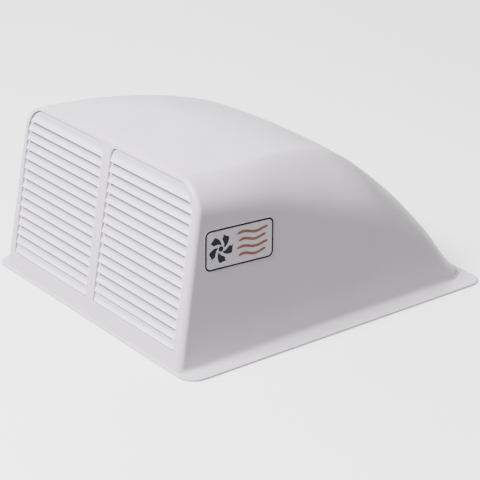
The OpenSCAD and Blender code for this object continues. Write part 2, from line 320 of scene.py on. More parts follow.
def half_section(y, side_in, roof_in):
    """Half of the cross-section at y, from the foot of the wall to the roof's centre line."""
    top = along(ROOF_LINE, y) - roof_in * steepness(y)
    h = along(EDGE_LINE, y, 2) - roof_in
    r = along(EDGE_LINE, y, 1) - side_in
    base = top - h
    low = 0.0 if base >= 0 else math.asin(clamp(-base / h))
    crown = crown_at(y, top)
    points = [(side_x(0) - side_in - r * (1 - math.cos(low)), 0.0)]
    skip = 0 if base > 0 else 1
    for i in range(ARC_STEPS + 1):
        a = low + (math.pi / 2 - low) * (i + skip) / (ARC_STEPS + skip)
        z = base + h * math.sin(a)
        x = side_x(z) - side_in - r * (1 - math.cos(a))
        points.append((x, z + crown * math.sin(a) ** 4 * (1 - (x / BASE_HALF) ** 2)))
    edge_x = points[-1][0]
    for i in range(1, ROOF_STEPS + 1):
        x = edge_x * (1 - i / ROOF_STEPS)
        points.append((x, top + crown * (1 - (x / BASE_HALF) ** 2)))
    return points


def lean_at(run):
    """How far a row leans forwards for each millimetre up: as the rear wall, and less towards the front."""
    return math.tan(REAR_LEAN) * (1 - run / ROOF_RUN)


def ring(run, side_in, roof_in):
    """One row of points over the hood, from the foot of the right wall to that of the left wall."""
    guess = half_section(run + ROOF_LINE[0][1] * lean_at(run), side_in, roof_in)
    half = []
    for i, p in enumerate(guess):
        q = half_section(run + p[1] * lean_at(run), side_in, roof_in)[i]
        half.append((q[0], REAR_Y + run + q[1] * lean_at(run), q[1]))
    return half + [(-x, y, z) for x, y, z in reversed(half[:-1])]


CAVITY_START = WALL_T / math.cos(REAR_LEAN)


def outer_skin(body):
    """Rows over the outside: the rounded edge of the rear wall, then on to the front."""
    rows = []
    for i in range(EDGE_STEPS + 1):
        a = math.pi / 2 * i / EDGE_STEPS
        inset = 1 - math.sin(a)
        run = REAR_EDGE_SIDE * (1 - math.cos(a))
        rows.append(body.add(ring(run, REAR_EDGE_SIDE * inset, REAR_EDGE_ROOF * inset)))
    for i in range(1, STATIONS + 1):
        run = REAR_EDGE_SIDE + (ROOF_RUN - REAR_EDGE_SIDE) * i / STATIONS
        rows.append(body.add(ring(run, 0, 0)))
    return rows


def inner_skin(body):
    """Rows over the inside, one wall thickness in."""
    rows = []
    for i in range(STATIONS + 1):
        run = CAVITY_START + (CAVITY_RUN - CAVITY_START) * i / STATIONS
        rows.append(body.add(ring(run, WALL_T, WALL_T)))
    return rows


def on_inner_wall(x, s):
    """A place on the inner face of the rear wall."""
    z = s * math.cos(REAR_LEAN)
    return x, REAR_Y + CAVITY_START + z * lean_at(CAVITY_START), z


def window_loop(side, grow):
    reach = (MULLION_W / 2, WINDOW_LOW, WINDOW_REACH, WINDOW_HIGH)
    loop = rounded_loop(*reach, WINDOW_R, grow, WINDOW_ARC_STEPS)
    return [(side * x, s) for x, s in loop]


def cut_window(body, side):
    """The inside of one window opening, with its rounded front edge. Returns its loops in the outer
    and the inner face of the rear wall, as (point numbers, places)."""
    rows = []
    loops = []
    for i in range(LIP_STEPS + 1):
        a = math.pi / 2 * i / LIP_STEPS
        loop = window_loop(side, LIP_R * (1 - math.sin(a)))
        rows.append(body.add([on_wall(x, s, -LIP_R * (1 - math.cos(a))) for x, s in loop]))
        loops.append(loop)
    straight = window_loop(side, 0)
    rows.append(body.add([on_inner_wall(x, s) for x, s in straight]))
    body.strips(rows)
    return (rows[0], loops[0]), (rows[-1], straight)


def foot_loop(body, rows):
    """The closed line of a skin's feet, as (point numbers, places)."""
    numbers = [row[0] for row in rows] + [row[-1] for row in reversed(rows)]
    return numbers, [body.points[i][:2] for i in numbers]


def make_walls(material):
    """Walls and roof with the window openings. Returns them and the line of the right wall's outer foot."""
    body = Solid()
    skins = (outer_skin(body), inner_skin(body))
    for rows in skins:
        body.strips(rows, closed=False)
    windows = [cut_window(body, side) for side in (-1, 1)]
    cos_lean = math.cos(REAR_LEAN)
    for rows, holes in zip(skins, zip(*windows)):
        first = rows[0]
        body.flat((first, [(body.points[i][0], body.points[i][2] / cos_lean) for i in first]), holes)
    for rows in skins:
        last = rows[-1]
        body.flat((last, [(body.points[i][0], body.points[i][2]) for i in last]))
    outer_foot, inner_foot = [foot_loop(body, rows) for rows in skins]
    body.flat(outer_foot, [inner_foot])
    foot_line = [body.points[row[0]][:2] for row in skins[0][EDGE_STEPS:]]
    return body.build("hood_wall", [material], weighted=False), foot_line


def make_flange(foot_line, material):
    """The flat plate round the foot, with rounded edges. Its opening ends in the middle of the walls."""
    flange = Solid()
    half_w, half_l = HOOD_W / 2, HOOD_L / 2
    radii = [FLANGE_CORNER_R] * 4
    rows = []
    for side in (-1, 1):
        for i in range(FLANGE_EDGE_STEPS + 1):
            part = i / FLANGE_EDGE_STEPS
            a = math.pi / 2 * (part if side < 0 else 1 - part)
            z = FLANGE_T / 2 + side * (FLANGE_T / 2 - FLANGE_EDGE_R + FLANGE_EDGE_R * math.cos(a))
            grow = -FLANGE_EDGE_R * (1 - math.sin(a))
            loop = rounded_loop(-half_w, -half_l, half_w, half_l, radii, grow, FLANGE_ARC_STEPS)
            rows.append((flange.add([(x, y, z) for x, y in loop]), loop))
    flange.strips([numbers for numbers, loop in rows])
    inset = WALL_T / 2
    y_low, y_high = REAR_Y + inset, REAR_Y + ROOF_RUN - inset
    wall_line = [(x - inset, clamp(y, y_low, y_high)) for x, y in foot_line]
    wall_line[0] = (wall_line[0][0], y_low)
    hole = wall_line + [(-x, y) for x, y in reversed(wall_line)]
    low = flange.add([(x, y, 0) for x, y in hole])
    high = flange.add([(x, y, FLANGE_T) for x, y in hole])
    flange.strip(low, high)
    flange.flat(rows[0], [(low, hole)])
    flange.flat(rows[-1], [(high, hole)])
    return flange.build("hood_flange", [material], weighted=False)


def fillet_section(r):
    """Section of the fillet of radius r, as (distance out from the wall, height)."""
    low = FLANGE_T - FILLET_IN_FLANGE
    section = [(-FILLET_IN_WALL, low), (r, low)]
    for k in range(FILLET_STEPS + 1):
        t = math.pi / 2 * k / FILLET_STEPS
        section.append((r * (1 - math.sin(t)), FLANGE_T + r * (1 - math.cos(t))))
    section.append((-FILLET_IN_WALL, FLANGE_T + r))
    return section


def make_fillet(foot_line, material):
    """The rounding between walls and flange, along both sides and the front."""
    fillet = Solid()
    path = foot_line + [(-x, y) for x, y in reversed(foot_line)]
    inside_y = -40
    least_facing = 0.1
    rows = []
    for i, (x, y) in enumerate(path):
        a, b = path[max(i - 1, 0)], path[min(i + 1, len(path) - 1)]
        tangent = Vector((b[0] - a[0], b[1] - a[1])).normalized()
        normal = Vector((tangent.y, -tangent.x))
        if normal.dot(Vector((x, y - inside_y))) < 0:
            normal = -normal
        room = HOOD_L / 2 - FILLET_MARGIN - y
        thinning = FRONT_THINNING * math.sqrt(max(normal.y, 0))
        fillet_r = min(FILLET_R * (1 - thinning), room / max(normal.y, least_facing))
        section = fillet_section(fillet_r)
        rows.append(fillet.add([(x + normal.x * n, y + normal.y * n, z) for n, z in section]))
    fillet.strips(rows)
    fillet.face(*rows[0])
    fillet.face(*rows[-1])
    return fillet.build("hood_fillet", [material], weighted=False)


def join_solids(name, parts, material):
    """Unites closed solids into one closed mesh."""
    base = parts[0]
    for other in parts[1:]:
        union = base.modifiers.new("union", "BOOLEAN")
        union.operation = "UNION"
        union.solver = "EXACT"
        union.object = other
    graph = bpy.context.evaluated_depsgraph_get()
    mesh = bpy.data.meshes.new_from_object(base.evaluated_get(graph))
    for part in parts:
        bpy.data.objects.remove(part)
    mesh.name = name
    mesh.materials.clear()
    mesh.materials.append(material)
    obj = bpy.data.objects.new(name, mesh)
    bpy.context.scene.collection.objects.link(obj)
    finish_mesh(obj, weld=UNION_WELD)
    return obj


# ---- Materials ----

def new_material(name):
    material = bpy.data.materials.new(name)
    material.use_nodes = True
    nodes = material.node_tree.nodes
    nodes.clear()
    out = nodes.new("ShaderNodeOutputMaterial")
    shader = nodes.new("ShaderNodeBsdfPrincipled")
    material.node_tree.links.new(shader.outputs["BSDF"], out.inputs["Surface"])
    return material, shader


def noise(material, scale, detail=3.0, stretch=(1, 1, 1), roughness=0.5):
    tree = material.node_tree
    place = tree.nodes.new("ShaderNodeTexCoord")
    mapping = tree.nodes.new("ShaderNodeMapping")
    mapping.inputs["Scale"].default_value = stretch
    texture = tree.nodes.new("ShaderNodeTexNoise")
    texture.inputs["Scale"].default_value = scale
    texture.inputs["Detail"].default_value = detail
    texture.inputs["Roughness"].default_value = roughness
    tree.links.new(place.outputs["Object"], mapping.inputs["Vector"])
    tree.links.new(mapping.outputs["Vector"], texture.inputs["Vector"])
    return texture.outputs["Fac"]


def spread(material, value, low, high, from_low=0.3, from_high=0.7):
    node = material.node_tree.nodes.new("ShaderNodeMapRange")
    node.inputs["From Min"].default_value = from_low
    node.inputs["From Max"].default_value = from_high
    node.inputs["To Min"].default_value = low
    node.inputs["To Max"].default_value = high
    material.node_tree.links.new(value, node.inputs["Value"])
    return node.outputs["Result"]


def mix_colours(material, factor, a, b):
    node = material.node_tree.nodes.new("ShaderNodeMix")
    node.data_type = "RGBA"
    for socket, value in ((node.inputs["A"], a), (node.inputs["B"], b)):
        if isinstance(value, tuple):
            socket.default_value = (*value, 1)
        else:
            material.node_tree.links.new(value, socket)
    material.node_tree.links.new(factor, node.inputs["Factor"])
    return node.outputs["Result"]


def bump(material, shader, heights):
    """Chains bump nodes: heights is a list of (value, strength, distance in metres)."""
    last = None
    for value, strength, distance in heights:
        node = material.node_tree.nodes.new("ShaderNodeBump")
        node.inputs["Strength"].default_value = strength
        node.inputs["Distance"].default_value = distance
        material.node_tree.links.new(value, node.inputs["Height"])
        if last is not None:
            material.node_tree.links.new(last, node.inputs["Normal"])
        last = node.outputs["Normal"]
    material.node_tree.links.new(last, shader.inputs["Normal"])


def edges(material, low=0.52, high=0.62):
    """From 0 on flat places to 1 on sharp outer edges."""
    geometry = material.node_tree.nodes.new("ShaderNodeNewGeometry")
    return spread(material, geometry.outputs["Pointiness"], 0, 1, low, high)


# Depths behind the rear wall's face where the painted shade in the louvre's grooves begins and is darkest
GROOVE_SHADE_DEPTHS = (1.3, 3.6)


def depth_behind_wall(material, shallow, deep):
    """From 0 at the first depth behind the rear wall's face to 1 at the second, in millimetres."""
    tree = material.node_tree
    place = tree.nodes.new("ShaderNodeTexCoord")
    outwards = tree.nodes.new("ShaderNodeVectorMath")
    outwards.operation = "DOT_PRODUCT"
    outwards.inputs[1].default_value = (0, -math.cos(REAR_LEAN), math.sin(REAR_LEAN))
    tree.links.new(place.outputs["Object"], outwards.inputs[0])
    face = -REAR_Y * math.cos(REAR_LEAN)
    return spread(material, outwards.outputs["Value"], 1, 0, (face - deep) * MM, (face - shallow) * MM)


def moulded_plastic(name, colour, roughness, grain=900.0, shade=0.93, dust_and_shade=None):
    """White or tinted moulding: faint cloudy colour, fine pebble grain, slightly rubbed edges.
    The last argument, if given, is the colour of painted shade in its grooves, deepening behind the rear
    wall's face."""
    material, shader = new_material(name)
    link = material.node_tree.links.new
    darker = tuple(c * shade for c in colour)
    lighter = tuple(min(c * 1.04, 1) for c in colour)
    clouds = spread(material, noise(material, 9, 5), 0, 1)
    body = mix_colours(material, clouds, colour, darker)
    surface_colour = mix_colours(material, edges(material), body, lighter)
    if dust_and_shade is not None:
        # Painted shade: the colour darkens in the louvre's grooves with depth behind the rear wall's face
        surface_colour = mix_colours(material, depth_behind_wall(material, *GROOVE_SHADE_DEPTHS), surface_colour, dust_and_shade)
    link(surface_colour, shader.inputs["Base Color"])
    patches = noise(material, 28, 4)
    link(spread(material, patches, roughness - 0.05, roughness + 0.09), shader.inputs["Roughness"])
    shader.inputs["Specular IOR Level"].default_value = 0.45
    waviness = noise(material, 14, 2)
    pebbles = noise(material, grain, 2)
    bump(material, shader, [(waviness, 0.05, 0.002), (pebbles, 0.10, 0.00015)])
    return material


def plated_steel(name, colour, roughness, stretch=(1, 1, 1)):
    """Zinc or stainless steel: mottled tone, fine drawn scratches, brighter edges."""
    material, shader = new_material(name)
    link = material.node_tree.links.new
    shader.inputs["Metallic"].default_value = 1.0
    mottling = spread(material, noise(material, 160, 6), 0, 1)
    darker = tuple(c * 0.72 for c in colour)
    body = mix_colours(material, mottling, colour, darker)
    surface_colour = mix_colours(material, edges(material), body, tuple(min(c * 1.25, 1) for c in colour))
    link(surface_colour, shader.inputs["Base Color"])
    scratches = noise(material, 700, 3, stretch)
    link(spread(material, scratches, roughness - 0.08, roughness + 0.12), shader.inputs["Roughness"])
    bump(material, shader, [(scratches, 0.12, 0.0001)])
    return material


def rubber(name, colour):
    material, shader = new_material(name)
    link = material.node_tree.links.new
    dust_and_shade = spread(material, noise(material, 60, 5), 0, 0.6)
    link(mix_colours(material, dust_and_shade, colour, tuple(c + 0.05 for c in colour)), shader.inputs["Base Color"])
    link(spread(material, noise(material, 220, 3), 0.7, 0.9), shader.inputs["Roughness"])
    bump(material, shader, [(noise(material, 1200, 2), 0.2, 0.0001)])
    return material


def print_ink(name, colour, roughness=0.3, metallic=0.0):
    material, shader = new_material(name)
    link = material.node_tree.links.new
    fade = spread(material, noise(material, 120, 4), 0, 1)
    link(mix_colours(material, fade, colour, tuple(c * 0.88 for c in colour)), shader.inputs["Base Color"])
    link(spread(material, noise(material, 300, 3), roughness - 0.05, roughness + 0.1),
         shader.inputs["Roughness"])
    shader.inputs["Metallic"].default_value = metallic
    shader.inputs["Specular IOR Level"].default_value = 0.15
    bump(material, shader, [(noise(material, 900, 2), 0.05, 0.00005)])
    return material


HOOD_WHITE = moulded_plastic("hood_white", (0.655, 0.605, 0.665), 0.36)
# The louvres' second colour is painted shade, laid into their grooves by depth
LOUVRE_WHITE = moulded_plastic("louvre_white", (0.90, 0.85, 0.92), 0.42, dust_and_shade=(0.36, 0.335, 0.38))
INNER_WHITE = moulded_plastic("inner_white", (0.74, 0.74, 0.74), 0.5, 1200)
NYLON = moulded_plastic("nylon", (0.72, 0.68, 0.55), 0.38, 1500)
ZINC = plated_steel("zinc", (0.60, 0.61, 0.63), 0.34)
SHEET_STEEL = plated_steel("sheet_steel", (0.56, 0.58, 0.60), 0.36, (1, 0.06, 1))
STAINLESS = plated_steel("stainless", (0.66, 0.66, 0.67), 0.22, (0.05, 1, 1))
WIRE = plated_steel("screen_wire", (0.30, 0.31, 0.32), 0.42)
STOP_RUBBER = rubber("stop_rubber", (0.03, 0.03, 0.032))
LABEL_SILVER = print_ink("label_silver", (0.66, 0.625, 0.67), 0.45, 0.1)
LABEL_NAVY = print_ink("label_navy", (0.004, 0.004, 0.014), 0.6)
LABEL_RUST = print_ink("label_rust", (0.33, 0.15, 0.11), 0.6)


# ---- Pieces of the hood ----

def make_hood():
    walls, foot_line = make_walls(HOOD_WHITE)
    parts = (walls, make_flange(foot_line, HOOD_WHITE), make_fillet(foot_line, HOOD_WHITE))
    hood = join_solids("hood_shell_skin", parts, HOOD_WHITE)
    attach(hood, "hood")
    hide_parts("hood_shell")


LABEL_L = 105.0
LABEL_H = 54.0
LABEL_R = 9.0
LABEL_Z = 148.0
LABEL_RUN = 98.0
LABEL_TILT = math.radians(-3)
LABEL_GAP = 0.02
LABEL_ARC_STEPS = 12
FILM_T = 0.28
INK_T = 0.36
# Distances in from the label's edge: the film's edge, and both sides of the printed border
FILM_INSET = 0.05
BORDER_INSETS = (1.0, 3.4)

FAN_CENTRE = (-28, 0)
FAN_BLADES = 5
FAN_TURN = 10
BLADE_STEPS = 10
BLADE_ROOT_R = 5.0
BLADE_TIP_R = 18.2
BLADE_SWEEP = math.radians(38)
# A blade's width in degrees at its root, what is added half-way, and the share of its length where
# it stops narrowing
BLADE_WIDTH = 16
BLADE_SWELL = 34
BLADE_SWELL_END = 0.82
HUB_R = 3.5
HUB_STEPS = 24

WAVE_COUNT = 4
WAVE_TOP = 14.2
WAVE_PITCH = 9.45
WAVE_ENDS = (-4, 43)
# Every second wave is this much shorter at its two ends
WAVE_STAGGER = (2.2, 3.0)
WAVE_W = 3.7
WAVE_HEIGHT = 1.7
WAVE_PERIODS = 1.25
WAVE_STEPS = 36
# Share of a wave's length at each end where its tip stays blunt, and how fast it widens from there
WAVE_BLUNT = 0.012
WAVE_TAPER = 4


def label_point(u, v, height):
    """A place on the label: u along it, v up it, height out from the side wall."""
    y = u * math.cos(LABEL_TILT) - v * math.sin(LABEL_TILT)
    z = u * math.sin(LABEL_TILT) + v * math.cos(LABEL_TILT)
    x = height * math.cos(SIDE_DRAFT) - z * math.sin(SIDE_DRAFT)
    z = height * math.sin(SIDE_DRAFT) + z * math.cos(SIDE_DRAFT)
    return side_x(LABEL_Z) + LABEL_GAP + x, REAR_Y + LABEL_RUN + y, LABEL_Z + z


def label_slab(solid, outer, low, high, hole=None):
    """A flat layer of the label between two heights, with a hole if one is given."""
    rows = [solid.add([label_point(u, v, h) for u, v in outer]) for h in (low, high)]
    solid.strip(*rows)
    if hole is None:
        solid.flat((rows[0], outer))
        solid.flat((rows[1], outer))
        return
    inner = [solid.add([label_point(u, v, h) for u, v in hole]) for h in (low, high)]
    solid.strip(*inner)
    for row, gap in zip(rows, inner):
        solid.flat((row, outer), [(gap, hole)])


def fan_blade(turn):
    """One swept blade: out along its leading edge and back along its trailing edge."""
    shares = [i / BLADE_STEPS for i in range(BLADE_STEPS + 1)]
    points = []
    for trailing, way in ((False, shares), (True, reversed(shares))):
        for t in way:
            r = BLADE_ROOT_R + (BLADE_TIP_R - BLADE_ROOT_R) * t
            a = turn + BLADE_SWEEP * t
            if trailing:
                a += math.radians(BLADE_WIDTH + BLADE_SWELL * math.sin(math.pi * min(t, BLADE_SWELL_END)))
            points.append(polar(*FAN_CENTRE, r, a))
    return points


def fan_hub():
    return [polar(*FAN_CENTRE, HUB_R, a) for a in turns(HUB_STEPS)]


def air_wave(v, start, end):
    """A gently waved band that tapers at both ends."""
    upper, lower = [], []
    for i in range(WAVE_STEPS + 1):
        t = i / WAVE_STEPS
        u = start + (end - start) * t
        middle = v + WAVE_HEIGHT * math.sin(2 * math.pi * WAVE_PERIODS * t)
        taper = WAVE_TAPER * math.sin(math.pi * clamp(t, WAVE_BLUNT, 1 - WAVE_BLUNT))
        half = WAVE_W / 2 * math.sqrt(clamp(taper))
        upper.append((u, middle + half))
        lower.append((u, middle - half))
    return upper + lower[::-1]


def label_outline(inset):
    half_l, half_h = LABEL_L / 2, LABEL_H / 2
    return rounded_loop(-half_l, -half_h, half_l, half_h, [LABEL_R] * 4, -inset, LABEL_ARC_STEPS)


def make_label():
    label = Solid()
    label_slab(label, label_outline(FILM_INSET), 0, FILM_T)
    label.slot = 1
    outside, inside = [label_outline(inset) for inset in BORDER_INSETS]
    label_slab(label, outside, FILM_T, INK_T, inside)
    for k in range(FAN_BLADES):
        label_slab(label, fan_blade(math.radians(360 / FAN_BLADES * k + FAN_TURN)), FILM_T, INK_T)
    label_slab(label, fan_hub(), FILM_T, INK_T)
    label.slot = 2
    for k in range(WAVE_COUNT):
        start = WAVE_ENDS[0] + WAVE_STAGGER[0] * (k % 2)
        end = WAVE_ENDS[1] - WAVE_STAGGER[1] * (k % 2)
        label_slab(label, air_wave(WAVE_TOP - WAVE_PITCH * k, start, end), FILM_T, INK_T)
    piece = label.build("side_label_film", [LABEL_SILVER, LABEL_NAVY, LABEL_RUST], weighted=False)
    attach(piece, "hood")
    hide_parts("side_label")


# ---- Louvre hatches ----

def edge_reach(s, low, high, radii, x0, x1):
    """How far left and right an outline with rounded corners reaches at height s."""
    left, right = x0, x1
    for r, at_low, at_left in ((radii[0], 1, 1), (radii[1], 1, 0), (radii[2], 0, 0), (radii[3], 0, 1)):
        depth = (low + r - s) if at_low else (s - high + r)
        if depth > 0:
            cut = r - math.sqrt(max(r * r - min(depth, r) ** 2, 0))
            if at_left:
                left = x0 + cut
            else:
                right = x1 - cut
    return left, right


# Rounding of a slat's drip edge, and of the bend at its face's top, with the start and the extent of
# each arc in degrees
DRIP_R = 0.6
DRIP_ARC = (-90, 105)
BEND_R = 0.8
BEND_ARC = (15, 65)
DRIP_STEPS = 4
BEND_STEPS = 3
# The lip that stands behind the slat above, and the back of the top slat, which has none:
# places as (d, height over the slat's top edge)
SLAT_LIP = [
    (-5.8, 0.6), (-6.2, 1.1), (-6.2, 4.1), (-6.5, 4.4),
    (-7.3, 4.4), (-7.6, 4.1), (-7.6, -0.3), (-4.6, -1.4),
]
TOP_SLAT_BACK = [(-6.2, 0), (-6.5, -0.3), (-6.5, -2), (-4.6, -2)]
# The back of the drip edge, as (d, height over the slat's low edge)
DRIP_BACK = [(-2.3, 0.6), (-1.9, 0)]
SLAT_COLUMNS = 26
# A slat's ends are rounded over SLAT_END: at its last two columns, how far in they are as a share
# of SLAT_END, and how much of the narrowing they have
SLAT_END = 0.5
END_PLACES = (0.0, 0.3)
END_NARROWING = (1.0, 0.3)
SLAT_NARROWING = 0.16


def slat_profile(low, high, top):
    """Closed section of a slat as (d, s): rounded drip edge, sloping face, then its back."""
    points = []
    for i in range(DRIP_STEPS + 1):
        a = math.radians(DRIP_ARC[0] + DRIP_ARC[1] * i / DRIP_STEPS)
        points.append(polar(SLAT_FRONT - DRIP_R, low + DRIP_R, DRIP_R, a))
    for t in (0.25, 0.5, 0.75):
        points.append((SLAT_FRONT + (SLAT_BACK - SLAT_FRONT) * t, low + (high - low) * t))
    for i in range(BEND_STEPS + 1):
        a = math.radians(BEND_ARC[0] + BEND_ARC[1] * i / BEND_STEPS)
        points.append(polar(SLAT_BACK - BEND_R, high - BEND_R, BEND_R, a))
    points += [(d, high + rise) for d, rise in (TOP_SLAT_BACK if top else SLAT_LIP)]
    return points + [(d, low + rise) for d, rise in DRIP_BACK]


def sweep_slat(panel, side, low, high, top):
    """Sweeps the slat's section across the panel, between the panel's rounded corners."""
    profile = slat_profile(low, high, top)
    middle_d = sum(d for d, s in profile) / len(profile)
    ends = len(END_PLACES)
    rows = []
    for k in range(SLAT_COLUMNS + 1):
        from_end = min(k, SLAT_COLUMNS - k)
        at_end = from_end < ends
        narrowing = END_NARROWING[from_end] if at_end else 0
        row = []
        for d, s in profile:
            x0, x1 = edge_reach(s, PANEL_LOW, PANEL_HIGH, PANEL_R, PANEL_IN, PANEL_OUT)
            if not at_end:
                t = (k - ends) / (SLAT_COLUMNS - 2 * ends)
                x = x0 + SLAT_END + (x1 - x0 - 2 * SLAT_END) * t
            elif k == from_end:
                x = x0 + SLAT_END * END_PLACES[from_end]
            else:
                x = x1 - SLAT_END * END_PLACES[from_end]
            row.append(on_wall(side * x, s, d + (middle_d - d) * SLAT_NARROWING * narrowing))
        rows.append(panel.add(row))
    panel.strips(rows)
    panel.face(*rows[0])
    panel.face(*rows[-1])


def wall_ring(solid, side, outer, inner, front, back, edge=0.5):
    """A frame on the rear wall between two matching outlines, with eased edges.
    outer and inner are functions of how far the outline is grown."""
    rows = []
    levels = [
        (outer, -edge, front), (outer, 0, front - edge), (outer, 0, back + edge), (outer, -edge, back),
        (inner, edge, back), (inner, 0, back + edge), (inner, 0, front - edge), (inner, edge, front),
    ]
    for outline, grow, d in levels:
        rows.append(solid.add([on_wall(side * x, s, d) for x, s in outline(grow)]))
    rows.append(rows[0])
    solid.strips(rows)


def tube(solid, side, x0, x1, s, d, outer_r, inner_r, steps=40):
    """A sleeve along X, with eased outer rims."""
    rim = 0.4
    rows = []
    levels = [
        (x0, outer_r - rim), (x0 + rim, outer_r), (x1 - rim, outer_r),
        (x1, outer_r - rim), (x1, inner_r), (x0, inner_r),
    ]
    for x, r in levels:
        circle = [on_wall(side * x, s + r * math.sin(a), d + r * math.cos(a)) for a in turns(steps)]
        rows.append(solid.add(circle))
    rows.append(rows[0])
    solid.strips(rows)


LOW_RAIL_W = 7.5
LOW_CORNER_R = 3
INNER_LOW_CORNER_R = 5
BARREL_INSET = 4
ROD_PLAY = 0.02


def make_louvre_panel(side, name):
    """Slats across a frame, and the barrel that holds the hinge rod."""
    panel = Solid()
    for k in range(SLAT_COUNT):
        low = SLIT_LOW + k * SLIT_PITCH + DRIP_RISE
        top = k == SLAT_COUNT - 1
        sweep_slat(panel, side, low, PANEL_HIGH if top else low + SLAT_RISE, top)
    top_r = (WINDOW_R[2] - PANEL_GAP, WINDOW_R[3] - PANEL_GAP)

    def outer(grow):
        radii = (LOW_CORNER_R, LOW_CORNER_R, *top_r)
        return rounded_loop(PANEL_IN, HATCH_S, PANEL_OUT, RAIL_HIGH, radii, grow)

    def inner(grow):
        radii = (INNER_LOW_CORNER_R, INNER_LOW_CORNER_R, top_r[0] - STILE_W, top_r[1] - STILE_W)
        low, high = HATCH_S + LOW_RAIL_W, PANEL_HIGH - STILE_W
        return rounded_loop(PANEL_IN + STILE_W, low, PANEL_OUT - STILE_W, high, radii, grow)

    wall_ring(panel, side, outer, inner, STILE_FRONT, STILE_BACK)
    ends = (PANEL_IN + BARREL_INSET, PANEL_OUT - BARREL_INSET)
    tube(panel, side, *ends, HATCH_S, HATCH_D, HATCH_BARREL_R, ROD_R + ROD_PLAY)
    piece = panel.build(f"louvres_{name}", [LOUVRE_WHITE])
    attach(piece, f"hatch_{name}")
    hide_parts(f"louvre_panel_{name}")


def screen_outline(grow):
    return rounded_loop(SCREEN_IN, SCREEN_LOW, SCREEN_OUT, SCREEN_HIGH, SCREEN_R, grow)


FRAME_INSET = 0.05
FRAME_EDGE = 0.6


def make_screen_frame(side, name):
    solid = Solid()

    def outer(grow):
        return screen_outline(grow - FRAME_INSET)

    def inner(grow):
        return screen_outline(grow - FRAME_W)

    wall_ring(solid, side, outer, inner, SCREEN_BACK, FRAME_BACK, FRAME_EDGE)
    piece = solid.build(f"screen_rim_{name}", [INNER_WHITE])
    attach(piece, f"hatch_{name}")
    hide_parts(f"screen_frame_{name}")


WIRE_PITCH = 2.4
WIRE_R = 0.13
WIRE_WAVE = WIRE_R * 0.8
# Distance from the screen's edge to the ends of its wires
WIRE_INSET = 1


def wire(solid, points, across):
    """A four-sided wire through points, across being its sideways direction."""
    rows = []
    for p in points:
        v = Vector(p)
        out = Vector(on_wall(0, 0, 1)) - Vector(on_wall(0, 0, 0))
        rows.append(solid.add([
            v + across * WIRE_R, v + out * WIRE_R, v - across * WIRE_R, v - out * WIRE_R]))
    solid.strips(rows)
    solid.face(*rows[0])
    solid.face(*rows[-1])


def make_screen(side, name):
    """Woven wire: each wire passes over and under the ones that cross it."""
    solid = Solid()
    middle_d = (SCREEN_FRONT + SCREEN_BACK) / 2
    x0, x1 = SCREEN_IN + WIRE_INSET, SCREEN_OUT - WIRE_INSET
    low, high = SCREEN_LOW + WIRE_INSET, SCREEN_HIGH - WIRE_INSET
    columns = int((x1 - x0) / WIRE_PITCH) + 1
    rows = int((high - low) / WIRE_PITCH) + 1
    up = Vector(on_wall(0, 1, 0)) - Vector(on_wall(0, 0, 0))
    radii = [r - WIRE_INSET for r in SCREEN_R]

    def crossings(places, way):
        """The points of one wire, where it passes over and under the others."""
        points = []
        for i, j in places:
            x, s = x0 + i * WIRE_PITCH, low + j * WIRE_PITCH
            left, right = edge_reach(s, low, high, radii, x0, x1)
            if left <= x <= right:
                points.append(on_wall(side * x, s, middle_d + way * WIRE_WAVE * (-1) ** (i + j)))
        return points

    for j in range(rows):
        wire(solid, crossings([(i, j) for i in range(columns)], 1), up)
    for i in range(columns):
        wire(solid, crossings([(i, j) for j in range(rows)], -1), Vector((1, 0, 0)))
    piece = solid.build(f"insect_mesh_{name}", [WIRE], smooth_angle=80, weighted=False)
    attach(piece, f"hatch_{name}")
    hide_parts(f"insect_screen_{name}")


INNER_SCREWS_S = (60, 130, 200)
OUTER_SCREWS_S = (60, 125, 185)
SCREW_STEPS = 32
FRAME_SCREW_R = 1.5
SCREW_HEAD_R = 2 * FRAME_SCREW_R
SCREW_HEAD_H = 1.6
# The head's dome ends in a flat top, a little under the full height
HEAD_TOP_R = 1.9
HEAD_TOP = SCREW_HEAD_H * 0.98
DOME_STEPS = 6
DOME_POWER = 0.7
# The cross recess: radius between its arms, what an arm adds, how slender the arms are,
# their scale at the bottom, and how far the bottom stands over the frame
RECESS_R = 0.45
RECESS_ARM = 0.95
RECESS_POWER = 6
RECESS_TAPER = 0.7
RECESS_FLOOR = 0.5


def recess_radius(a):
    return RECESS_R + RECESS_ARM * abs(math.cos(2 * a)) ** RECESS_POWER


def add_screw(solid, side, cx, cs):
    """A pan-head screw through the screen's frame: shank, head with a domed edge, and cross recess."""
    def ring_at(d, radius):
        """A row at depth d. radius gives its distance from the middle at an angle."""
        row = []
        for a in turns(SCREW_STEPS):
            x, s = polar(cx, cs, radius(a), a)
            row.append(on_wall(side * x, s, d))
        return solid.add(row)

    levels = [(SCREEN_FRONT, FRAME_SCREW_R), (FRAME_BACK, FRAME_SCREW_R), (FRAME_BACK, SCREW_HEAD_R)]
    for i in range(1, DOME_STEPS + 1):
        a = math.pi / 2 * i / DOME_STEPS
        rise = HEAD_TOP * math.sin(a) ** DOME_POWER
        levels.append((FRAME_BACK - rise, HEAD_TOP_R + (SCREW_HEAD_R - HEAD_TOP_R) * math.cos(a)))
    rows = [ring_at(d, lambda a, r=r: r) for d, r in levels]
    rows.append(ring_at(FRAME_BACK - HEAD_TOP, recess_radius))
    rows.append(ring_at(FRAME_BACK - RECESS_FLOOR, lambda a: RECESS_TAPER * recess_radius(a)))
    solid.strips(rows)
    solid.face(*rows[0])
    solid.face(*rows[-1])


